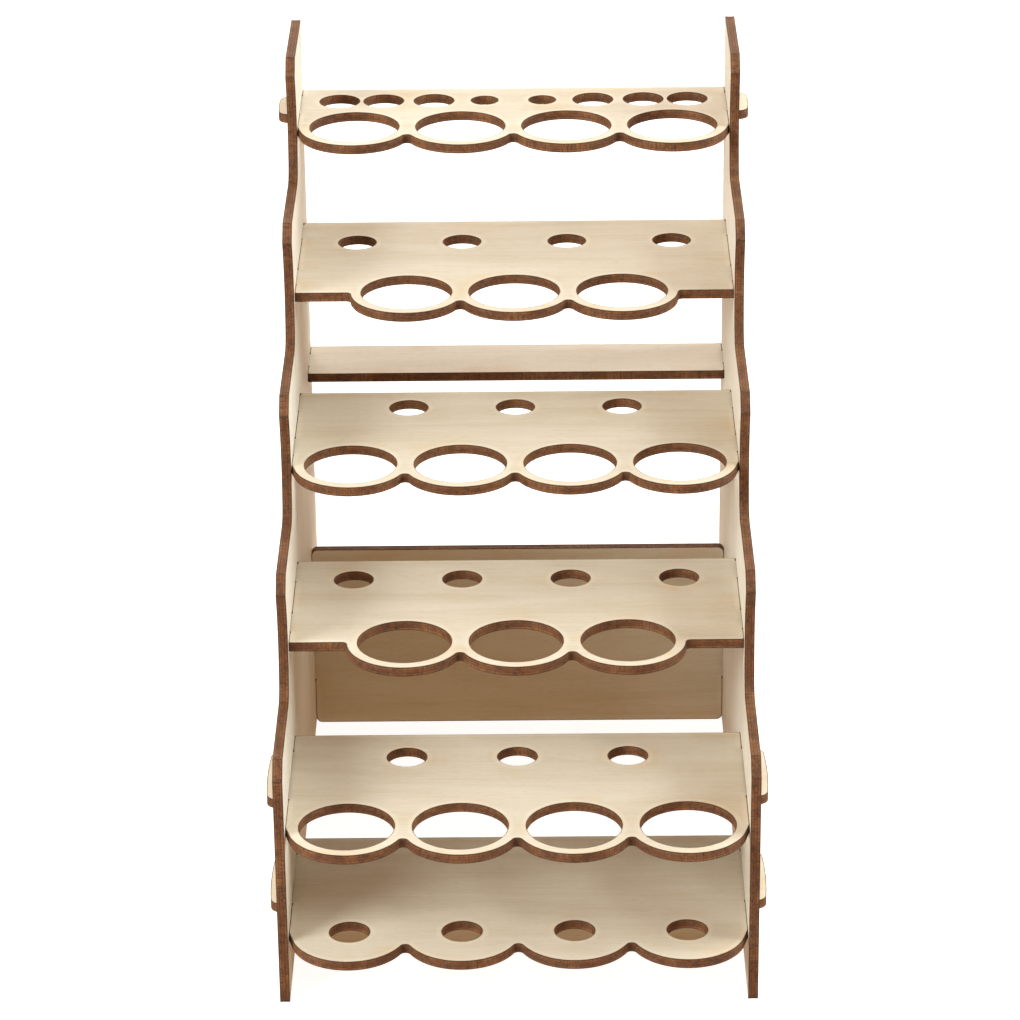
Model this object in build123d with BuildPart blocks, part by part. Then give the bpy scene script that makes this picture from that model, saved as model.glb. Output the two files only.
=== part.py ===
"""Stepped paint rack: six plywood shelves, a rail and two boards tenoned between two side panels.

X runs across the rack, Y from the front to the back and Z up from the table. The origin is
on the table, under the middle of the rack. Bottles stand upside down: each one hangs in a
large hole and rests its nozzle in the small hole of the shelf below.
"""
import os
from math import acos, cos, sin

from build123d import *

# Driving dimensions, in millimetres
PLY = 2.8                # thickness of every board
INNER_HALF = 64.2        # from the middle of the rack to the inner face of a side panel
BOTTLE_R = 13.25         # large hole for a bottle's body
NOZZLE_R = 5.65          # small hole for a bottle's nozzle
BOTTLE_PITCH = 31.5      # from one bottle to the next along a row
STEP_DEPTH = 41.0        # from one row of bottles to the next, front to back
STEP_RISE = 36.7         # from one shelf to the next, from the second shelf up
BASE_SHELF_TOP = 19.0    # top face of the lowest shelf above the table
SECOND_SHELF_TOP = 52.5  # top face of the second shelf above the table
REAR = 198.3             # rear edge of the side panels, behind the front row

# Shelf edges
LOBE_R = 16.4            # round front of a shelf in front of each large hole
NOTCH_R = 1.5            # soft bottom of the notch between two lobes
BACK_MARGIN = {2: 13.9, 3: 12.9, 4: 11.8, 5: 17.3}  # shelf behind its row of small holes
BASE_SHELF_BACK = 54.5   # rear edge of the lowest shelf, behind the front row

# Tool holes at the back of the top shelf
TOOL_ROW = 23.4          # behind the top shelf's row of bottles
TOOL_R = 6.0
FINE_TOOL_R = 4.05
TOOL_X = (24.0, 39.2, 52.5)
FINE_TOOL_X = 8.7

# Side panels
FIRST_TREAD = 74.4       # lowest step of the panel's front edge, above the table
TREAD_RISE = 36.8        # from one step to the next
PANEL_LEAD = 5.8         # how far the front edge stands in front of a row of bottles
TREAD_CHAMFER = 4.7
FRONT_BOW = 3.4          # how far the front edge bows in behind each chamfer
TREAD_FILLET_R = 6.0

# Joints
TAB_REACH = 3.8          # how far a rounded tab stands out of the panel's outer face
TAB_CORNER_R = 3.0
TAB_CROWN = 0.7          # how much more the middle of a tab stands out than its ends
MORTISE_PLAY = 0.4       # room over a tenon and at each end of it
BASE_TAB = (16.2, 45.0)  # start and end of the tabs on the two lowest shelves
TOP_TAB = (12.0, 28.8)   # the same on the top shelf, behind its row of bottles
TENON_LENGTH = 12.0      # flush tenons on the other shelves
FRONT_TENON = 7.0        # start of the front tenon, behind the row of bottles
REAR_TENON_MARGIN = 1.6  # from the rear tenon to the rear edge

# Rail and boards
RAIL_DEPTH = 22.4
RAIL_TOP = 115.0
RAIL_TENON = 10.0
RAIL_CORNER_R = 0.6
BACK_BOARD_FRONT = 165.0   # its front face, behind the front row
BACK_BOARD_HEIGHT = 60.2
BACK_BOARD_TENON = 30.0
BOARD_CORNER_R = 1.9
BRACE_FRONT = 23.6          # its front face, behind the front row
BRACE_TENON = 8.0

# Worked out from the dimensions above
FRONT_ROW = -(REAR - LOBE_R) / 2   # Y of the front row, so that the origin is in the middle
OUTER_HALF = INNER_HALF + PLY
BACK_EDGE = FRONT_ROW + REAR
STEPS = 5
TOP = 6                            # number of the top shelf

os.makedirs("parts", exist_ok=True)

mortises = []  # (y, z, length, height) of each slot through a side panel


def row_y(step):
    """Y of a row of bottles, counting the front row as 0."""
    return FRONT_ROW + step * STEP_DEPTH


def shelf_top(number):
    """Z of a shelf's top face. Shelf 1 is the lowest."""
    if number == 1:
        return BASE_SHELF_TOP
    return SECOND_SHELF_TOP + (number - 2) * STEP_RISE


def row_x(count):
    """X of each hole in a row that is centred on the rack."""
    return [(index - (count - 1) / 2) * BOTTLE_PITCH for index in range(count)]


def bottle_count(step):
    """Rows of four and rows of three take turns, so that each row shows between the last."""
    return 4 if step % 2 == 0 else 3


def shelf_back(number):
    """Y of a shelf's rear edge."""
    if number == 1:
        return FRONT_ROW + BASE_SHELF_BACK
    if number == TOP:
        return BACK_EDGE
    return row_y(number - 1) + BACK_MARGIN[number]


def shelf_tenons(number):
    """Start, end and length past the panel's inner face of the tenons on each side."""
    if number in (1, 2):
        return [(FRONT_ROW + BASE_TAB[0], FRONT_ROW + BASE_TAB[1], PLY + TAB_REACH)]
    front = row_y(number - 2)
    if number == TOP:
        return [(front + TOP_TAB[0], front + TOP_TAB[1], PLY + TAB_REACH)]
    first = front + FRONT_TENON
    last = shelf_back(number) - REAR_TENON_MARGIN
    return [(first, first + TENON_LENGTH, PLY), (last - TENON_LENGTH, last, PLY)]


def tab_outline(start, end, length):
    """A tab with a crowned end and soft corners, to the right of a shelf."""
    with BuildSketch() as tab:
        with BuildLine():
            low = (INNER_HALF - 1, start)
            high = (INNER_HALF - 1, end)
            low_end = (INNER_HALF + length - TAB_CROWN, start)
            high_end = (INNER_HALF + length - TAB_CROWN, end)
            Polyline(low_end, low, high, high_end)
            ThreePointArc(high_end, (INNER_HALF + length, (start + end) / 2), low_end)
        make_face()
        fillet(tab.vertices().group_by(Axis.X)[-1], TAB_CORNER_R)
    return tab.sketch


def make_shelf(number):
    """One shelf: a straight board with a lobe round each front hole, holes and tenons."""
    step = max(number - 2, 0)
    front, back = row_y(step), shelf_back(number)
    lobes = [(x, front) for x in row_x(bottle_count(step))]
    right_side = [(INNER_HALF, front), (INNER_HALF, back)]
    if len(lobes) == 4:  # a tangent runs from the outer lobe to the side panel
        outer_x = lobes[-1][0]
        lean = acos(LOBE_R / (INNER_HALF - outer_x))
        right_side.insert(0, (outer_x + LOBE_R * cos(lean), front - LOBE_R * sin(lean)))
    left_side = [(-x, y) for x, y in reversed(right_side)]
    with BuildPart() as shelf:
        with BuildSketch(Plane.XY.offset(shelf_top(number) - PLY)) as outline:
            Polygon(*right_side, *left_side, align=None)
            with Locations(*lobes):
                Circle(LOBE_R)
            reach = lobes[-1][0] if len(lobes) == 4 else INNER_HALF - NOTCH_R
            near_front = outline.vertices().filter_by(lambda v: v.Y < front + NOTCH_R)
            fillet(near_front.filter_by(lambda v: abs(v.X) < reach), NOTCH_R)
            for start, end, length in shelf_tenons(number):
                if length > PLY:
                    tab = tab_outline(start, end, length)
                    add([tab, mirror(tab, Plane.YZ, mode=Mode.PRIVATE)])
                else:
                    with Locations((0, (start + end) / 2)):
                        Rectangle(2 * (INNER_HALF + length), end - start)
            if number > 1:
                with Locations(*lobes):
                    Circle(BOTTLE_R, mode=Mode.SUBTRACT)
            if number < TOP:
                nozzle_step = number - 1
                with Locations(*[(x, row_y(nozzle_step)) for x in row_x(bottle_count(nozzle_step))]):
                    Circle(NOZZLE_R, mode=Mode.SUBTRACT)
            else:
                tool_y = front + TOOL_ROW
                with Locations(*[(side * x, tool_y) for side in (-1, 1) for x in TOOL_X]):
                    Circle(TOOL_R, mode=Mode.SUBTRACT)
                with Locations((-FINE_TOOL_X, tool_y), (FINE_TOOL_X, tool_y)):
                    Circle(FINE_TOOL_R, mode=Mode.SUBTRACT)
        extrude(amount=PLY)
    return shelf


# Shelves, from the lowest up
shelf_names = ["shelf_1_base", "shelf_2", "shelf_3", "shelf_4", "shelf_5", "shelf_6_top"]
for number, name in enumerate(shelf_names, start=1):
    shelf = make_shelf(number)
    shelf.part.label = name
    export_step(shelf.part, f"parts/{name}.step")
    for start, end, _ in shelf_tenons(number):
        mortises.append(((start + end) / 2, shelf_top(number) - PLY / 2, end - start, PLY))

# Rear rail: a flat strip between the panels, level with their rear edges
rail_y = BACK_EDGE - RAIL_DEPTH / 2
with BuildPart() as rear_rail:
    with BuildSketch(Plane.XY.offset(RAIL_TOP - PLY)) as rail_outline:
        with Locations((0, rail_y)):
            RectangleRounded(2 * INNER_HALF, RAIL_DEPTH, RAIL_CORNER_R)
            Rectangle(2 * OUTER_HALF, RAIL_TENON)
    extrude(amount=PLY)
rear_rail.part.label = "rear_rail"
export_step(rear_rail.part, "parts/rear_rail.step")
mortises.append((rail_y, RAIL_TOP - PLY / 2, RAIL_TENON, PLY))

# Back board: an upright board with round corners that stands on the table
board_y = FRONT_ROW + BACK_BOARD_FRONT + PLY / 2
with BuildPart() as back_board:
    with BuildSketch(Plane.XZ.offset(-board_y - PLY / 2)) as board_outline:
        with Locations((0, BACK_BOARD_HEIGHT / 2)):
            RectangleRounded(2 * INNER_HALF, BACK_BOARD_HEIGHT, BOARD_CORNER_R)
            Rectangle(2 * OUTER_HALF, BACK_BOARD_TENON)
    extrude(amount=PLY)
back_board.part.label = "back_board"
export_step(back_board.part, "parts/back_board.step")
mortises.append((board_y, BACK_BOARD_HEIGHT / 2, PLY, BACK_BOARD_TENON))

# Brace: a low upright board under the lowest shelf
brace_y = FRONT_ROW + BRACE_FRONT + PLY / 2
brace_height = BASE_SHELF_TOP - PLY
with BuildPart() as base_brace:
    with BuildSketch(Plane.XZ.offset(-brace_y - PLY / 2)) as brace_outline:
        with Locations((0, brace_height / 2)):
            Rectangle(2 * INNER_HALF, brace_height)
            Rectangle(2 * OUTER_HALF, BRACE_TENON)
    extrude(amount=PLY)
base_brace.part.label = "base_brace"
export_step(base_brace.part, "parts/base_brace.step")
mortises.append((brace_y, brace_height / 2, PLY, BRACE_TENON))


def front_edge_points(step):
    """The chamfered corner over a step, then the foot of the upright below it."""
    tread = FIRST_TREAD + step * TREAD_RISE
    upright = row_y(step) - PANEL_LEAD
    foot = FIRST_TREAD + (step - 1) * TREAD_RISE if step else 0
    return (upright + TREAD_CHAMFER, tread), (upright, tread - TREAD_CHAMFER), (upright, foot)


def make_side_panel(inner_face, direction):
    """One side panel, from its inner face outwards, with a slot for each tenon."""
    with BuildPart() as panel:
        with BuildSketch(Plane.YZ.offset(inner_face)) as outline:
            with BuildLine():
                last = (BACK_EDGE, FIRST_TREAD + (STEPS - 1) * TREAD_RISE)
                Line((BACK_EDGE, 0), last)
                for step in reversed(range(STEPS)):
                    tread_end, upright_top, foot = front_edge_points(step)
                    Polyline(last, tread_end, upright_top)
                    if step:
                        middle = (upright_top[0] + FRONT_BOW, (upright_top[1] + foot[1]) / 2)
                        ThreePointArc(upright_top, middle, foot)
                    else:
                        Line(upright_top, foot)
                    last = foot
                Line(last, (BACK_EDGE, 0))
            make_face()
            feet = [front_edge_points(step)[2] for step in range(1, STEPS)]
            fillet([outline.vertices().sort_by_distance(foot)[0] for foot in feet], TREAD_FILLET_R)
            for y, z, length, height in mortises:
                upright_slot = height > length
                with Locations((y, z if upright_slot else z + MORTISE_PLAY / 2)):
                    Rectangle(length + (MORTISE_PLAY if upright_slot else 2 * MORTISE_PLAY),
                              height + (2 * MORTISE_PLAY if upright_slot else MORTISE_PLAY),
                              mode=Mode.SUBTRACT)
        extrude(amount=direction * PLY)
    return panel


for name, side in (("side_panel_left", -1), ("side_panel_right", 1)):
    side_panel = make_side_panel(side * INNER_HALF, side)
    side_panel.part.label = name
    export_step(side_panel.part, f"parts/{name}.step")
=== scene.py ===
# %% [markdown]
# # Paint rack organizer in laser-cut plywood
# The rack is eleven flat boards of thin three-ply wood: six shelves full of round holes, a rail, a back
# board and a brace, held between two stepped side panels. A laser cut every board, so its faces are pale
# bare veneer and its edges are toasted brown. This lesson rebuilds each board from the outline that its
# CAD part already has, adds what the laser and the layers of wood leave on it, and lights the result.

# %% Load the fixed CAD frame
from math import pi, radians

import bpy
import numpy as np
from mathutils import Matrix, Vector
from mathutils.geometry import delaunay_2d_cdt


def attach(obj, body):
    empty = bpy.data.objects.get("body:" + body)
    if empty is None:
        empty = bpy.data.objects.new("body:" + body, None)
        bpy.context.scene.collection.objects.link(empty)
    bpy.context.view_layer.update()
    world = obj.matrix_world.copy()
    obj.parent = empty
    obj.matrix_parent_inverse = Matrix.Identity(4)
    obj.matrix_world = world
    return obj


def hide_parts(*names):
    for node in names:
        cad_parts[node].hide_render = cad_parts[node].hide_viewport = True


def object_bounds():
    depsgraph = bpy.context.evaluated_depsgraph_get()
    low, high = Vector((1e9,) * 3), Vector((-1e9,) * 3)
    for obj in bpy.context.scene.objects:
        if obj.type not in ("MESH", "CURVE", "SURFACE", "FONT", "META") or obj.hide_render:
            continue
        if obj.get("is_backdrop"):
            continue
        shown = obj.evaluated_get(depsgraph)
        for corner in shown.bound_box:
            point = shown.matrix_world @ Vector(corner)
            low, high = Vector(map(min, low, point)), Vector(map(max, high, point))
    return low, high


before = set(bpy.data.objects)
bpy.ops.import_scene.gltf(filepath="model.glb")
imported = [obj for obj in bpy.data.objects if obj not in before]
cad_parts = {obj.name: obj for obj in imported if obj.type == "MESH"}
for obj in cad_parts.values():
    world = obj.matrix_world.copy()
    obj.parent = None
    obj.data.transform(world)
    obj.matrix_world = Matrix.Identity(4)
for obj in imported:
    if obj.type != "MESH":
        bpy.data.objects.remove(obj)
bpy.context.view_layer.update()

MM = 0.001

# %% [markdown]
# ## Camera
# A long lens a little over a metre away, tilted down by about 24 degrees, shows the shelves as a stair of
# shallow ellipses. A long lens keeps the upright panels nearly parallel. The camera stands almost exactly
# on the rack's middle line.

# %% The camera
LENS = 150.4
CAMERA_PLACE = (0.00599, -1.1274, 0.61971)
CAMERA_TILT, CAMERA_ROLL, CAMERA_TURN = 65.545, 0.564, 0.135
SENSOR_WIDTH, CLIP_END = 36, 20

camera = bpy.data.objects.new("camera", bpy.data.cameras.new("camera"))
camera.data.lens = LENS
camera.data.sensor_width = SENSOR_WIDTH
camera.data.clip_end = CLIP_END
camera.location = CAMERA_PLACE
camera.rotation_euler = [radians(a) for a in (CAMERA_TILT, CAMERA_ROLL, CAMERA_TURN)]
bpy.context.scene.collection.objects.link(camera)
bpy.context.scene.camera = camera
print("camera at", tuple(camera.location), "lens", LENS, "mm")

# %% [markdown]
# ## Studio
# Small goods are often shot in a tent over a white table. The tent is a dim world, tinted warm like light
# that has already bounced off bare wood, and it fills the gaps between the shelves. Four softboxes stand
# above the rack: one at the front left, two on the right and one behind, so that surfaces facing up are the
# brightest and those facing the viewer fall darker. The table is a plain pale plane. A light table looks
# white but mustn't flood the undersides, so a Light Path node gives the camera a bright table and gives the
# wood a dim one.

# %% World, softboxes and table
TENT_LIGHT, TENT_COLOUR = 0.34, (1.0, 0.52, 0.2, 1)
SOFTBOXES = {"softbox left": ((-0.95, -0.75, 0.75), 0.7, 18.5, (0.94, 1.0, 1.0)),
             "softbox right": ((1.1, 0.0, 0.72), 0.8, 14.5, (0.88, 0.98, 1.0)),
             "softbox right, high": ((0.75, 0.0, 1.15), 0.8, 5.0, (0.9, 0.98, 1.0)),
             "softbox behind": ((0.0, 1.0, 1.0), 1.0, 9.0, (1.0, 1.0, 0.97))}
AIM = Vector((0, 0, 0.1))
TABLE_PAPER, TABLE_ROUGHNESS = (0.45, 0.45, 0.45, 1), 0.9
TABLE_SEEN, TABLE_SPILL = (0.88, 0.88, 0.88, 1), (0.34, 0.21, 0.12, 1)
TABLE_X, TABLE_FRONT, TABLE_BACK = 3.0, -2.0, 5.0

scene = bpy.context.scene
scene.view_settings.view_transform = "Standard"
scene.world = bpy.data.worlds.new("tent")
scene.world.use_nodes = True
tent = scene.world.node_tree.nodes["Background"]
tent.inputs["Color"].default_value = TENT_COLOUR
tent.inputs["Strength"].default_value = TENT_LIGHT

for name, (place, size, power, colour) in SOFTBOXES.items():
    light = bpy.data.lights.new(name, "AREA")
    light.shape, light.size, light.energy, light.color = "SQUARE", size, power, colour
    softbox = bpy.data.objects.new(name, light)
    softbox.location = place
    softbox.rotation_euler = (AIM - softbox.location).to_track_quat("-Z", "Y").to_euler()
    scene.collection.objects.link(softbox)

table_mesh = bpy.data.meshes.new("table")
table_mesh.from_pydata([(-TABLE_X, TABLE_FRONT, 0), (TABLE_X, TABLE_FRONT, 0),
                        (TABLE_X, TABLE_BACK, 0), (-TABLE_X, TABLE_BACK, 0)], [], [(0, 1, 2, 3)])
table = bpy.data.objects.new("table", table_mesh)
scene.collection.objects.link(table)
paper = bpy.data.materials.new("white paper")
paper.use_nodes = True
sheet = paper.node_tree.nodes["Principled BSDF"]
sheet.inputs["Base Color"].default_value = TABLE_PAPER
sheet.inputs["Roughness"].default_value = TABLE_ROUGHNESS
sheet.inputs["Emission Strength"].default_value = 1.0
ray = paper.node_tree.nodes.new("ShaderNodeLightPath")
glow = paper.node_tree.nodes.new("ShaderNodeMix")
glow.data_type = "RGBA"
glow.inputs[6].default_value, glow.inputs[7].default_value = TABLE_SPILL, TABLE_SEEN
paper.node_tree.links.new(ray.outputs["Is Camera Ray"], glow.inputs[0])
paper.node_tree.links.new(glow.outputs[2], sheet.inputs["Emission Color"])
table_mesh.materials.append(paper)
table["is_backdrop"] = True
print("tent", TENT_LIGHT, "softboxes", {name: box[2] for name, box in SOFTBOXES.items()}, "W")

# %% [markdown]
# ## Reading a board's outline
# A board is a flat outline with a thickness, so all that a better board needs from the CAD is its loops: one
# outside and one round each hole or slot. They could be typed in again, but reading them from the part keeps
# the two models the same for ever. The triangles that face one way along the thin direction make up one face,
# and the edges that only one of them uses are its rim.

# %% Loops of a flat board
FACING = 0.99


def read_loops(node):
    """Thin axis, its lowest and highest value, and the closed loops of a flat board, in millimetres.
    Formula: weld equal points, keep the triangles whose normal is the thin axis, keep the edges whose
    reverse no other triangle has, and follow each edge to the one that starts at its end. Seen from
    the tip of the thin axis, the wood is always on a loop's left."""
    mesh = node.data
    points = np.empty(len(mesh.vertices) * 3, np.float32)
    mesh.vertices.foreach_get("co", points)
    corners = np.empty(len(mesh.loops), np.int32)
    mesh.loops.foreach_get("vertex_index", corners)
    points, same = np.unique(np.round(points.reshape(-1, 3) / MM, 3), axis=0, return_inverse=True)
    triangles = same.reshape(-1)[corners].reshape(-1, 3)
    thin = int(np.ptp(points, axis=0).argmin())
    a, b, c = points[triangles].transpose(1, 0, 2)
    normals = np.cross(b - a, c - a)
    normals /= np.maximum(np.linalg.norm(normals, axis=1, keepdims=True), 1e-12)
    face = triangles[normals[:, thin] > FACING]
    edges = face[:, [0, 1, 1, 2, 2, 0]].reshape(-1, 2)
    code = edges[:, 0] * len(points) + edges[:, 1]
    reverse = edges[:, 1] * len(points) + edges[:, 0]
    following = dict(edges[~np.isin(code, reverse)].tolist())
    loops = []
    while following:
        start = here = next(iter(following))
        chain = []
        while not chain or here != start:
            chain.append(here)
            here = following.pop(here)
        loops.append(points[chain][:, [(thin + 1) % 3, (thin + 2) % 3]])
    return thin, points[:, thin].min(), points[:, thin].max(), loops


for name, node in sorted(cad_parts.items()):
    thin, low, high, loops = read_loops(node)
    print(f"{name}: thin axis {'xyz'[thin]}, {high - low:.2f} mm, loops {[len(l) for l in loops]}")

# %% [markdown]
# ## The path of the laser
# A laser burns deeper where it lingers, which is wherever its path turns sharply: corners of tabs, the
# bottoms of notches, the corners of chamfers. So each loop gets a value, the dwell, that says how sharply
# the path turns within about half a millimetre. Points are also added along straight runs and close to each
# corner, because a value kept at points can only change where there are points.

# %% Stations along a loop, with the dwell at each
RUN_STEP = 2.2
NEAR_CORNER = np.array([-1.3, -0.5, 0.5, 1.3])
DWELL_REACH = 0.55
DWELL_FROM, DWELL_TO = 0.32, 0.85
CORNER_TURN = radians(20)
STATION_GAP = 0.3


def laser_path(loop):
    """Points, run and dwell along a closed loop. Formula: the run is the summed length of the edges. New
    stations lie at even steps and beside each corner, on the straight line between the loop's own points.
    The dwell is the sum of the turns at all own points, each weighted by a bell curve of its distance
    along the run, then stretched so that gentle curves have none."""
    closed = np.vstack([loop, loop[:1]])
    steps = np.diff(closed, axis=0)
    run = np.concatenate([[0], np.cumsum(np.linalg.norm(steps, axis=1))])
    length = run[-1]
    heading = np.arctan2(steps[:, 1], steps[:, 0])
    turn = np.abs((heading - np.roll(heading, 1) + pi) % (2 * pi) - pi)
    corners = run[:-1][turn > CORNER_TURN]
    beside_corners = (corners[:, None] + NEAR_CORNER).ravel() % length
    added = np.unique(np.round(np.concatenate([np.arange(0, length, RUN_STEP), beside_corners]), 1))
    added = added[np.abs(added[:, None] - run).min(1) > STATION_GAP]
    stations = np.sort(np.concatenate([run[:-1], added]))
    points = np.column_stack([np.interp(stations, run, closed[:, k]) for k in (0, 1)])
    apart = np.abs((stations[:, None] - run[:-1] + length / 2) % length - length / 2)
    sharpness = (turn * np.exp(-(apart / DWELL_REACH) ** 2)).sum(1)
    dwell = np.clip((sharpness - DWELL_FROM) / (DWELL_TO - DWELL_FROM), 0, 1)
    return points, np.append(stations, length), dwell


def inset(loop, depth):
    """A loop moved into the wood. Formula: each point moves along the sum of its two edges' left normals,
    scaled so that both edges move by exactly the depth."""
    ahead = np.roll(loop, -1, axis=0) - loop
    ahead /= np.linalg.norm(ahead, axis=1, keepdims=True)
    left = np.column_stack([-ahead[:, 1], ahead[:, 0]])
    bisector = left + np.roll(left, 1, axis=0)
    return loop + depth * 2 * bisector / (bisector ** 2).sum(1, keepdims=True)


points, run, dwell = laser_path(loops[0])
print("last board's outline:", len(loops[0]), "->", len(points), "points, run", round(run[-1], 1), "mm")

# %% [markdown]
# ## The section of a cut edge
# Seen close, the edge of laser-cut ply isn't a plain wall. The arrises are burnt round by a tenth of a
# millimetre, the glue between the layers is eaten back in two fine grooves, and the middle layer, whose
# grain runs the other way, stands slightly deeper. A profile of inset against depth says all that.

# %% The profile
ARRIS = 0.11
GLUE_AT = (0.31, 0.69)
GLUE_HALF_WIDTH, GLUE_GROOVE, CORE_SET_BACK = 0.1, 0.05, 0.025


def edge_profile(thick):
    """Inset and depth of each point of the section, from one face to the other. Formula: a quarter circle
    at each arris, and between them a wall whose inset is a raised cosine at each glue line plus a small
    step for the core."""
    angle = np.linspace(0, pi / 2, 5)
    arris = np.column_stack([1 - np.sin(angle), 1 - np.cos(angle)]) * ARRIS
    glue = np.array(GLUE_AT)[:, None] * thick + np.array([-1, -0.5, 0, 0.5, 1]) * GLUE_HALF_WIDTH
    depth = glue.ravel()
    groove = np.tile(np.array([0, 0.5, 1, 0.5, 0]) * GLUE_GROOVE, 2)
    core = np.clip((thick / 2 - np.abs(depth - thick / 2)) - glue[0, 2] + GLUE_HALF_WIDTH, 0, None)
    wall = np.column_stack([groove + np.minimum(core / GLUE_HALF_WIDTH, 1) * CORE_SET_BACK, depth])
    return np.vstack([arris, wall, np.column_stack([arris[::-1, 0], thick - arris[::-1, 1]])])


print("profile of a 2.8 mm board:", len(edge_profile(2.8)), "points")

# %% [markdown]
# ## Filling a face with holes
# A face needs points of its own, because the scorch beside the cut is stored at points. Rings of points just
# inside every cut hold the fast change, a loose grid holds the rest, and a constrained Delaunay triangulation
# joins them all. It fills the holes too, so triangles whose middle is in a hole are dropped.

# %% Distance from the cut, and the fill
RINGS = (0.42, 0.95, 1.9)
RING_TOLERANCE = 0.02
GRID_STEP, GRID_CLEARANCE = 3.2, 0.8
MERGE_CELL, WELD_GAP = 0.3, 1e-6


def from_cuts(points, loops):
    """Shortest distance from each point to the loops. Formula: drop a perpendicular on every edge, hold
    its foot within the edge, and take the smallest distance to a foot."""
    a = np.concatenate(loops)
    along = np.concatenate([np.roll(l, -1, axis=0) for l in loops]) - a
    share = ((points[:, None] - a) * along).sum(2) / (along ** 2).sum(1)
    feet = a + np.clip(share, 0, 1)[..., None] * along
    return np.linalg.norm(points[:, None] - feet, axis=2).min(1)


def in_wood(points, loops):
    """Whether each point is in the wood. Formula: a ray from it along the first axis crosses the loops an
    odd number of times."""
    a = np.concatenate(loops)
    b = np.concatenate([np.roll(l, -1, axis=0) for l in loops])
    x, y = points[:, 0, None], points[:, 1, None]
    spans = (a[:, 1] > y) != (b[:, 1] > y)
    rise = np.where(a[:, 1] == b[:, 1], 1, b[:, 1] - a[:, 1])
    return (spans & (x < a[:, 0] + (y - a[:, 1]) * (b[:, 0] - a[:, 0]) / rise)).sum(1) % 2 == 1


def fill_points(loops):
    """Extra points for a face. Formula: rings at set distances from the cut, kept where no other cut is
    nearer, and a grid with every other row shifted by half a step."""
    rings = np.concatenate([inset(l, d) for d in RINGS for l in loops])
    wanted = np.repeat(RINGS, [sum(len(l) for l in loops)] * len(RINGS))
    rings = rings[np.abs(from_cuts(rings, loops) - wanted) < RING_TOLERANCE * wanted]
    low, high = np.min([l.min(0) for l in loops], axis=0), np.max([l.max(0) for l in loops], axis=0)
    steps = [np.arange(low[k], high[k], GRID_STEP) for k in (0, 1)]
    columns, rows = np.meshgrid(*steps)
    columns = columns + (np.arange(len(rows)) % 2)[:, None] * GRID_STEP / 2
    grid = np.column_stack([columns.ravel(), rows.ravel()])
    grid = grid[in_wood(grid, loops) & (from_cuts(grid, loops) > RINGS[-1] + GRID_CLEARANCE)]
    both = np.concatenate([rings, grid])
    _, first = np.unique(np.round(both / MERGE_CELL), axis=0, return_index=True)
    return both[first]


def triangulate(rims, extra):
    """Triangles over all points, as rows of three indices. Formula: the Delaunay triangulation that keeps
    every edge of the rims, less the triangles whose centroid isn't in the wood."""
    points = np.concatenate([*rims, extra])
    starts = np.cumsum([0] + [len(r) for r in rims])
    edges = [np.column_stack([np.arange(s, e), np.roll(np.arange(s, e), -1)])
             for s, e in zip(starts[:-1], starts[1:])]
    edges = np.concatenate(edges).tolist()
    _, _, triangles, origin, _, _ = delaunay_2d_cdt(points.tolist(), edges, [], 0, WELD_GAP)
    origin = np.array([o[0] for o in origin])
    triangles = origin[np.array(triangles)]
    return triangles[in_wood(points[triangles].mean(1), rims)]


# %% [markdown]
# ## Two wood finishes need three effects
# Bare veneer shows long streaks of grain, fine pores and broad patches of tone. Both the faces and the cut
# edges show how near they are to where the laser burned, and the faces get a painted highlight: a paler band
# along every cut. And the cut edge shows its three layers. Each effect is a node group, so that every
# material uses the same one with its own values.

# %% Helpers for shader nodes
def add(tree, kind, inputs=None, **settings):
    """A node with its settings; an input is a number, a colour or another node's output."""
    new = tree.nodes.new(kind)
    for key, value in settings.items():
        setattr(new, key, value)
    for key, value in (inputs or {}).items():
        if isinstance(value, bpy.types.NodeSocket):
            tree.links.new(value, new.inputs[key])
        else:
            new.inputs[key].default_value = value
    return new


def sums(tree, operation, *values):
    """The result of one Math node."""
    return add(tree, "ShaderNodeMath", dict(enumerate(values)), operation=operation).outputs[0]


def fade(tree, value, start, end, low=0.0, high=1.0):
    """A smooth step: low before start, high after end."""
    inputs = {"Value": value, "From Min": start, "From Max": end, "To Min": low, "To Max": high}
    return add(tree, "ShaderNodeMapRange", inputs, interpolation_type="SMOOTHSTEP").outputs[0]


def blend_colours(tree, share, first, second, mode="MIX"):
    """Two colours mixed by a share."""
    inputs = {0: share, 6: first, 7: second}
    return add(tree, "ShaderNodeMix", inputs, data_type="RGBA", blend_type=mode).outputs[2]


def stain(tree, mask, share, colour, stained, mode="MIX"):
    """A colour changed where a mask is, by the mask times a share."""
    return blend_colours(tree, sums(tree, "MULTIPLY", mask, share), colour, stained, mode)


def streaks(tree, place, along, across, detail=2.0, rough=0.5, shift=0.0, warp=0.0):
    """Noise stretched by two scales, in turns per millimetre along and across."""
    inputs = {"Vector": place, "Scale": (along, across, 1), "Location": (shift, shift, shift)}
    turned = add(tree, "ShaderNodeMapping", inputs).outputs[0]
    inputs = {"Vector": turned, "Scale": 1.0, "Detail": detail, "Roughness": rough, "Distortion": warp}
    return add(tree, "ShaderNodeTexNoise", inputs, noise_dimensions="2D").outputs[0]


def new_group(name, inputs, outputs):
    """An empty node group with float, vector and colour sockets."""
    tree = bpy.data.node_groups.new(name, "ShaderNodeTree")
    kinds = {"f": "NodeSocketFloat", "v": "NodeSocketVector", "c": "NodeSocketColor"}
    for direction, sockets in (("INPUT", inputs), ("OUTPUT", outputs)):
        for socket, kind in sockets.items():
            tree.interface.new_socket(socket, in_out=direction, socket_type=kinds[kind])
    return tree, tree.nodes.new("NodeGroupInput").outputs, tree.nodes.new("NodeGroupOutput").inputs


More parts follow.
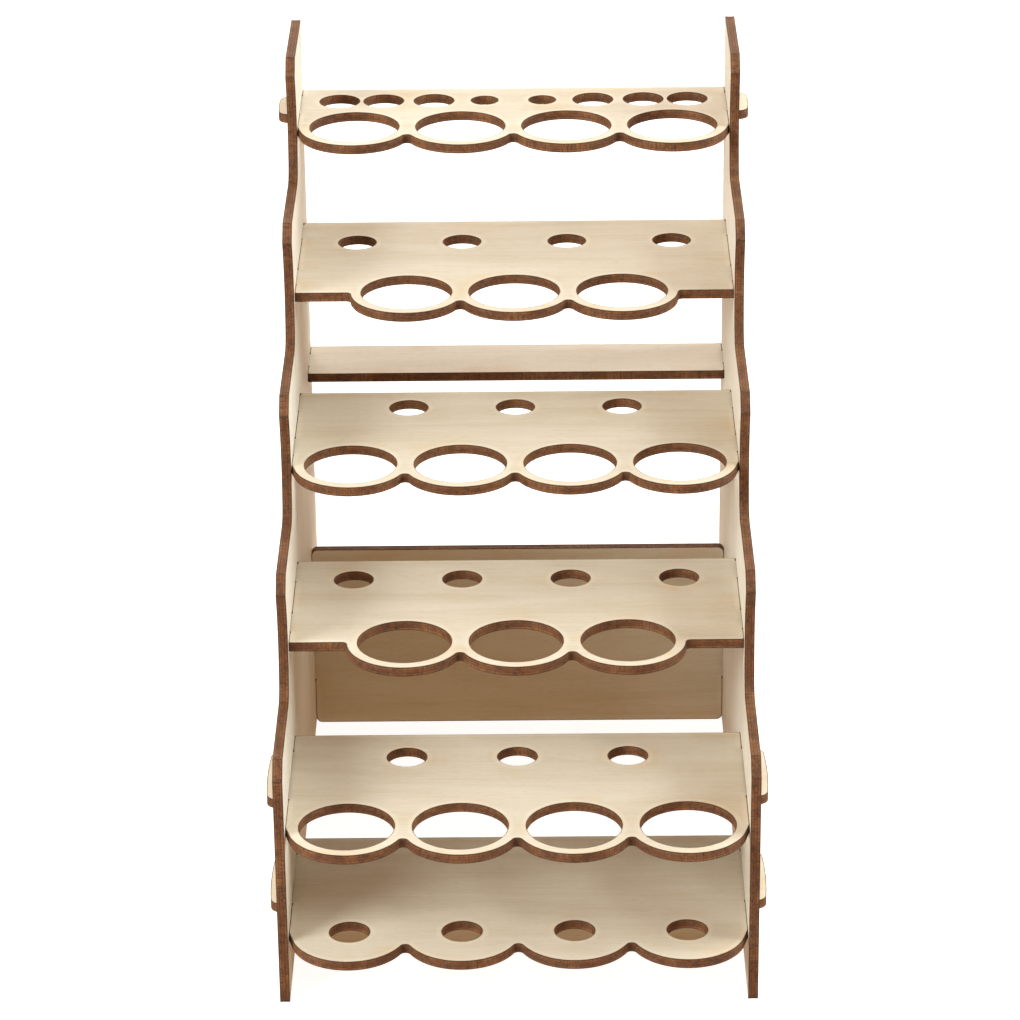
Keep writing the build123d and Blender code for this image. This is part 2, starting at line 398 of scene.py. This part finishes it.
# %% Grain of the veneer
def make_grain():
    """Streaks along the first axis of the lay, in millimetres. Formula: broad bands and fine lines of
    stretched noise added, and pores where a very stretched noise passes a threshold."""
    tree, given, out = new_group("veneer grain", {"Lay": "v"}, {"Tone": "f", "Pores": "f", "Height": "f"})
    bands = streaks(tree, given["Lay"], 0.014, 0.10, 3.0, 0.55, warp=0.6)
    lines = streaks(tree, given["Lay"], 0.045, 0.95, 4.0, 0.65, shift=7.3, warp=0.3)
    hairs = streaks(tree, given["Lay"], 0.35, 3.4, 3.0, 0.7, shift=3.1)
    both = sums(tree, "ADD", sums(tree, "MULTIPLY", bands, 0.45), sums(tree, "MULTIPLY", lines, 0.27))
    both = sums(tree, "ADD", both, sums(tree, "MULTIPLY", hairs, 0.28))
    tree.links.new(fade(tree, both, 0.30, 0.62), out["Tone"])
    flecks = streaks(tree, given["Lay"], 0.3, 5.2, 1.0, 0.5, shift=11.9)
    pores = fade(tree, flecks, 0.66, 0.76)
    tree.links.new(pores, out["Pores"])
    height = sums(tree, "SUBTRACT", sums(tree, "MULTIPLY", hairs, 0.5), sums(tree, "MULTIPLY", pores, 0.8))
    tree.links.new(height, out["Height"])
    return tree


GRAIN = make_grain()
print("node group:", GRAIN.name, [s.name for s in GRAIN.interface.items_tree])

# %% Scorch beside the cut, and a painted highlight along it
def make_scorch_and_highlight():
    """What the laser leaves on a face, and a painted highlight. Formula: the burn falls smoothly from the
    arris over about a fifth of a millimetre, twice that where the laser dwelt; just outside it lies a paler
    band, a painted highlight that stands in for light caught along the rim; the smoke is an uneven haze, a
    noise times an exponential of the distance."""
    inputs = {"From Cut": "f", "Dwell": "f", "Lay": "v"}
    tree, given, out = new_group("laser scorch and rim highlight", inputs, {"Burn": "f", "Rim Highlight": "f", "Smoke": "f"})
    wander = streaks(tree, given["Lay"], 0.8, 0.8, 2.0, 0.6, shift=5.0)
    width = sums(tree, "MULTIPLY_ADD", given["Dwell"], 0.22, sums(tree, "MULTIPLY_ADD", wander, 0.24, 0.05))
    ratio = sums(tree, "DIVIDE", given["From Cut"], width)
    tree.links.new(fade(tree, ratio, 0.35, 1.25, 1.0, 0.0), out["Burn"])
    # The rim band is a painted highlight: it rises from 0.15 to 0.5 mm off the cut and fades out by 2.3 mm.
    rim_in = fade(tree, given["From Cut"], 0.15, 0.5)
    rim_out = fade(tree, given["From Cut"], 0.8, 2.3, 1.0, 0.0)
    tree.links.new(sums(tree, "MULTIPLY", rim_in, rim_out), out["Rim Highlight"])
    puffs = fade(tree, streaks(tree, given["Lay"], 0.045, 0.07, 2.0, 0.6, shift=2.0), 0.5, 0.75)
    far = sums(tree, "EXPONENT", sums(tree, "MULTIPLY", given["From Cut"], -0.28))
    tree.links.new(sums(tree, "MULTIPLY", puffs, far), out["Smoke"])
    return tree


SCORCH_AND_HIGHLIGHT = make_scorch_and_highlight()
print("node group:", SCORCH_AND_HIGHLIGHT.name, [s.name for s in SCORCH_AND_HIGHLIGHT.interface.items_tree])

# %% Layers of the cut edge
def make_layers():
    """Masks across the thickness. Formula: the place across is the depth over the thickness; the core is
    between the two glue lines, the glue is a narrow bell at each, and the crust is a bell at each face."""
    tree, given, out = new_group("ply layers", {"Across": "f"}, {"Core": "f", "Glue": "f", "Crust": "f"})
    middle = sums(tree, "ABSOLUTE", sums(tree, "SUBTRACT", given["Across"], 0.5))
    half_core = (GLUE_AT[1] - GLUE_AT[0]) / 2
    tree.links.new(fade(tree, middle, half_core - 0.03, half_core + 0.03, 1.0, 0.0), out["Core"])
    off_glue = sums(tree, "ABSOLUTE", sums(tree, "SUBTRACT", middle, half_core))
    tree.links.new(fade(tree, off_glue, 0.008, 0.045, 1.0, 0.0), out["Glue"])
    tree.links.new(fade(tree, middle, 0.33, 0.5), out["Crust"])
    return tree


LAYERS = make_layers()
print("node group:", LAYERS.name, [s.name for s in LAYERS.interface.items_tree])

# %% [markdown]
# ## Bare veneer
# The veneer is sanded but not varnished: pale cream with faint tan streaks. No two sheets of ply are quite
# the same, so there is a cream veneer for the shelves and a whiter one for the side panels and the rail. A
# dull surface with a little roughness variation suits both. Each board has its lay, a map in millimetres
# whose first axis runs along the grain, so the same material turns with the board.

# %% Veneer material
PATCH_TINT, PORE_BROWN = (0.93, 0.90, 0.86, 1), (0.44, 0.30, 0.16, 1)
# The rim colour is a painted highlight: a paler cream laid along every cut.
SMOKE_TAN, RIM_HIGHLIGHT_CREAM = (0.62, 0.40, 0.17, 1), (0.80, 0.735, 0.59, 1)
PATCH_SHARE, PORE_SHARE, RIM_SHARE = 0.5, 0.28, 0.3
VENEER_SPECULAR = 0.3


def place_group(tree, group, inputs):
    """A node group placed in a material."""
    placed = add(tree, "ShaderNodeGroup", node_tree=group)
    for key, value in inputs.items():
        tree.links.new(value, placed.inputs[key])
    return placed.outputs


def value_of(tree, attribute):
    """A value kept at the piece's points."""
    return add(tree, "ShaderNodeAttribute", attribute_name=attribute).outputs["Fac"]


def make_veneer(name, pale, tan, burnt, smoke_share):
    """Veneer: pale to tan by the grain's tone, darkened in the pores, lifted by a painted highlight at the
    rim, stained by smoke and browned at the burn."""
    material = bpy.data.materials.new(name)
    material.use_nodes = True
    tree = material.node_tree
    lay = add(tree, "ShaderNodeUVMap", uv_map="lay").outputs[0]
    grain = place_group(tree, GRAIN, {"Lay": lay})
    scorch = place_group(tree, SCORCH_AND_HIGHLIGHT, {"From Cut": value_of(tree, "from_cut"),
                                        "Dwell": value_of(tree, "dwell"), "Lay": lay})
    colour = blend_colours(tree, grain["Tone"], tan, pale)
    patches = fade(tree, streaks(tree, lay, 0.012, 0.022, 2.0, 0.5, shift=9.0), 0.35, 0.7)
    colour = stain(tree, patches, PATCH_SHARE, colour, PATCH_TINT, "MULTIPLY")
    colour = stain(tree, grain["Pores"], PORE_SHARE, colour, PORE_BROWN)
    colour = stain(tree, scorch["Smoke"], smoke_share, colour, SMOKE_TAN)
    # Painted highlight: the rim band is lifted towards a paler cream.
    colour = stain(tree, scorch["Rim Highlight"], RIM_SHARE, colour, RIM_HIGHLIGHT_CREAM)
    colour = blend_colours(tree, scorch["Burn"], colour, burnt)
    rough = sums(tree, "MULTIPLY_ADD", grain["Tone"], -0.1, 0.66)
    rough = sums(tree, "ADD", rough, sums(tree, "MULTIPLY", grain["Pores"], 0.15))
    bump = add(tree, "ShaderNodeBump", {"Height": grain["Height"], "Strength": 0.35, "Distance": 0.00008})
    shader = tree.nodes["Principled BSDF"]
    tree.links.new(colour, shader.inputs["Base Color"])
    tree.links.new(rough, shader.inputs["Roughness"])
    tree.links.new(bump.outputs[0], shader.inputs["Normal"])
    shader.inputs["Specular IOR Level"].default_value = VENEER_SPECULAR
    return material


BURNT, SMOKE_SHARE = (0.17, 0.092, 0.042, 1), 0.45
VENEER = {
    "cream": make_veneer("cream veneer", (0.675, 0.622, 0.518, 1), (0.602, 0.528, 0.402, 1),
                         BURNT, SMOKE_SHARE),
    "whiter": make_veneer("whiter veneer", (0.81, 0.775, 0.70, 1), (0.74, 0.685, 0.585, 1),
                          BURNT, SMOKE_SHARE),
}
print("veneers:", list(VENEER))

# %% [markdown]
# ## The toasted edge
# The laser turns the edge to a thin brown crust: red-brown and mottled in the layers, nearly black along
# the glue lines, along both arrises and wherever the beam dwelt. Fine upright ridges mark the pulses of the
# beam. The same lay map serves: its first axis now runs along the cut and its second across the thickness.

# %% Edge material
CHARRED = (0.038, 0.020, 0.011, 1)
LIGHT_SHARE, CORE_SHARE = 0.8, 0.32
GLUE_CHAR, CRUST_CHAR, DWELL_CHAR = 0.5, 0.85, 0.7
EDGE_SPECULAR = 0.35


def make_toasted_edge(name, dark, red, light):
    """Cut edge: dark to red-brown by noise stretched across the thickness, lighter where a coarser noise
    says that the crust is thin, darkened by glue, crust and dwell."""
    material = bpy.data.materials.new(name)
    material.use_nodes = True
    tree = material.node_tree
    lay = add(tree, "ShaderNodeUVMap", uv_map="lay").outputs[0]
    layers = place_group(tree, LAYERS, {"Across": value_of(tree, "across")})
    dwell = value_of(tree, "dwell")
    ridges = streaks(tree, lay, 2.2, 0.3, 3.0, 0.65, warp=0.5)
    mottle = streaks(tree, lay, 0.7, 0.9, 4.0, 0.7, shift=4.0, warp=0.8)
    patches = streaks(tree, lay, 0.07, 0.12, 2.0, 0.55, shift=8.0)
    colour = blend_colours(tree, fade(tree, mottle, 0.32, 0.66), dark, red)
    thin_crust = sums(tree, "MULTIPLY", fade(tree, patches, 0.42, 0.68), fade(tree, ridges, 0.35, 0.7))
    colour = stain(tree, thin_crust, LIGHT_SHARE, colour, light)
    colour = stain(tree, layers["Core"], CORE_SHARE, colour, dark)
    glue_char = sums(tree, "MULTIPLY", layers["Glue"], GLUE_CHAR)
    crust_char = sums(tree, "MULTIPLY", layers["Crust"], CRUST_CHAR)
    char = sums(tree, "MAXIMUM", glue_char, crust_char)
    char = sums(tree, "MAXIMUM", char, sums(tree, "MULTIPLY", dwell, DWELL_CHAR))
    colour = blend_colours(tree, char, colour, CHARRED)
    rough = sums(tree, "MULTIPLY_ADD", mottle, 0.3, 0.5)
    height = sums(tree, "ADD", sums(tree, "MULTIPLY", ridges, 0.7), sums(tree, "MULTIPLY", mottle, 0.5))
    bump = add(tree, "ShaderNodeBump", {"Height": height, "Strength": 0.6, "Distance": 0.00015})
    shader = tree.nodes["Principled BSDF"]
    tree.links.new(colour, shader.inputs["Base Color"])
    tree.links.new(rough, shader.inputs["Roughness"])
    tree.links.new(bump.outputs[0], shader.inputs["Normal"])
    shader.inputs["Specular IOR Level"].default_value = EDGE_SPECULAR
    return material


TOASTED_EDGE = make_toasted_edge("toasted cut edge", (0.078, 0.031, 0.013, 1), (0.215, 0.084, 0.030, 1),
                                 (0.36, 0.165, 0.062, 1))
print("edge material:", TOASTED_EDGE.name)

# %% [markdown]
# ## Building a board
# The section is carried along every loop of the outline, and both faces are filled. The result is one closed
# skin. It carries the lay map and three values at its points: the distance from the cut, the dwell and the
# place across the thickness. The board's wood faces get the veneer and the walls the toasted edge.

# %% The skin of a board lying flat
def carried_profile(path, run, profile):
    """Grid of points and quads. Formula: row k of the grid is the path inset by the profile's inset k, at
    the profile's depth k; a quad joins stations i and i+1 on rows k and k+1."""
    rows = np.stack([inset(path, depth) for depth in profile[:, 0]])
    count = len(path)
    k, i = np.meshgrid(np.arange(len(profile) - 1), np.arange(count), indexing="ij")
    after, this, below = (i + 1) % count, k * count, (k + 1) * count
    quads = np.stack([this + i, below + i, below + after, this + after], axis=-1)
    corners = ((i, k), (i, k + 1), (i + 1, k + 1), (i + 1, k))
    lay = np.stack([np.stack([run[station], profile[row, 1]], -1) for station, row in corners], axis=2)
    return rows, quads.reshape(-1, 4), lay.reshape(-1, 4, 2)


def board_skin(loops, thick):
    """Points, values, walls and faces of a board. Formula: the profile carried along every loop makes the
    walls, both faces share one triangulation with its order turned round on the lower one, and a point
    inside a face has the dwell of the nearest station."""
    profile = edge_profile(thick)
    paths = [laser_path(loop) for loop in loops]
    outlines = [path for path, _, _ in paths]
    flat, depth, dwell, quads, cut_lay, rims, base = [], [], [], [], [], [], 0
    for path, run, burn in paths:
        rows, faces, lay = carried_profile(path, run, profile)
        flat.append(rows.reshape(-1, 2))
        depth.append(np.repeat(profile[:, 1], len(path)))
        dwell.append(np.tile(burn, len(profile)))
        quads.append(faces + base)
        cut_lay.append(lay)
        upper = base + np.arange(len(path))
        rims.append((rows[0], upper, upper + (len(profile) - 1) * len(path)))
        base += rows.size // 2
    extra = fill_points(outlines)
    triangles = triangulate([rim[0] for rim in rims], extra)
    inside = base + np.arange(len(extra))
    to_top = np.concatenate([*[rim[1] for rim in rims], inside])
    to_bottom = np.concatenate([*[rim[2] for rim in rims], inside + len(extra)])
    flat = np.concatenate([*flat, extra, extra])
    depth = np.concatenate([*depth, np.zeros(len(extra)), np.full(len(extra), thick)])
    nearest = np.linalg.norm(extra[:, None] - np.concatenate(outlines), axis=2).argmin(1)
    burnt = np.concatenate([burn for _, _, burn in paths])[nearest]
    values = {"from_cut": np.concatenate([np.zeros(base), *[from_cuts(extra, outlines)] * 2]),
              "dwell": np.concatenate([*dwell, burnt, burnt]), "across": depth / thick}
    walls = np.concatenate(quads), np.concatenate(cut_lay).reshape(-1, 2)
    return flat, depth, values, walls, to_top[triangles], to_bottom[triangles][:, ::-1]


walls = carried_profile(points, run, edge_profile(2.8))[1]
print("walls of the last board's outline:", len(walls), "quads")

# %% One board from its CAD node
LOWER_FACE_SHIFT, CUT_SHIFT = 311, 1.7
SHARP_FROM = radians(28)


def make_board(name, node_name, grain_axis, veneer, shift):
    """A plywood board that stands for one CAD node, with its grain along one axis of the frame. The lay
    is shifted by a different amount for each board and face, so that no two faces have the same figure."""
    thin, low, high, loops = read_loops(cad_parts[node_name])
    thick = high - low
    flat, depth, values, (quads, cut_lay), top, bottom = board_skin(loops, thick)
    solid = np.empty((len(flat), 3))
    solid[:, thin] = high - depth
    solid[:, (thin + 1) % 3], solid[:, (thin + 2) % 3] = flat[:, 0], flat[:, 1]
    across_grain = 3 - thin - grain_axis
    lay_of = solid[:, [grain_axis, across_grain]]
    lay = np.concatenate([cut_lay + [shift * CUT_SHIFT, 0], lay_of[top.ravel()] + shift,
                          lay_of[bottom.ravel()] + shift + LOWER_FACE_SHIFT])

    mesh = bpy.data.meshes.new(name)
    mesh.from_pydata((solid * MM).tolist(), [], quads.tolist() + top.tolist() + bottom.tolist())
    mesh.uv_layers.new(name="lay").data.foreach_set("uv", lay.astype(np.float32).ravel())
    for key, kept in values.items():
        mesh.attributes.new(key, "FLOAT", "POINT").data.foreach_set("value", kept.astype(np.float32))
    mesh.materials.append(veneer)
    mesh.materials.append(TOASTED_EDGE)
    which = np.concatenate([np.ones(len(quads), int), np.zeros(len(top) + len(bottom), int)])
    mesh.polygons.foreach_set("material_index", which)
    mesh.polygons.foreach_set("use_smooth", np.ones(len(which), bool))
    mesh.set_sharp_from_angle(angle=SHARP_FROM)
    mesh.update()

    board = bpy.data.objects.new(name, mesh)
    bpy.context.scene.collection.objects.link(board)
    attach(board, "root")
    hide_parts(node_name)
    count = 2 * len(quads) + len(top) + len(bottom)
    print(f"{name}: {len(flat)} points, {count} triangles, {thick:.2f} mm thick")
    return board


# %% [markdown]
# ## The shelves, the rail, the back board and the brace
# All of these have their grain across the rack, which is the stiff way for a shelf.

# %% Boards with their grain across the rack
ACROSS_RACK, UPRIGHT = 0, 2
BOARD_SHIFT, PANEL_SHIFT = 173.0, 2100.0
LAID_BOARDS = ["shelf_1_base", "shelf_2", "shelf_3", "shelf_4", "shelf_5", "shelf_6_top",
               "rear_rail", "back_board", "base_brace"]
boards = [make_board("plywood_" + node_name, node_name, ACROSS_RACK,
                     VENEER["whiter" if node_name == "rear_rail" else "cream"], BOARD_SHIFT * number)
          for number, node_name in enumerate(LAID_BOARDS)]

# %% [markdown]
# ## The side panels
# The grain of the two stepped panels runs upright, as their long side does.

# %% Boards with their grain upright
boards += [make_board("plywood_" + node_name, node_name, UPRIGHT, VENEER["whiter"],
                      PANEL_SHIFT + BOARD_SHIFT * number)
           for number, node_name in enumerate(("side_panel_left", "side_panel_right"))]
print(len(boards), "boards")

# %% [markdown]
# ## The size of the boards
# The looks must not change the size, so the box around the finished boards is printed.

# %% Sizes and finish
low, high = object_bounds()
print("visual box", tuple(low), tuple(high))
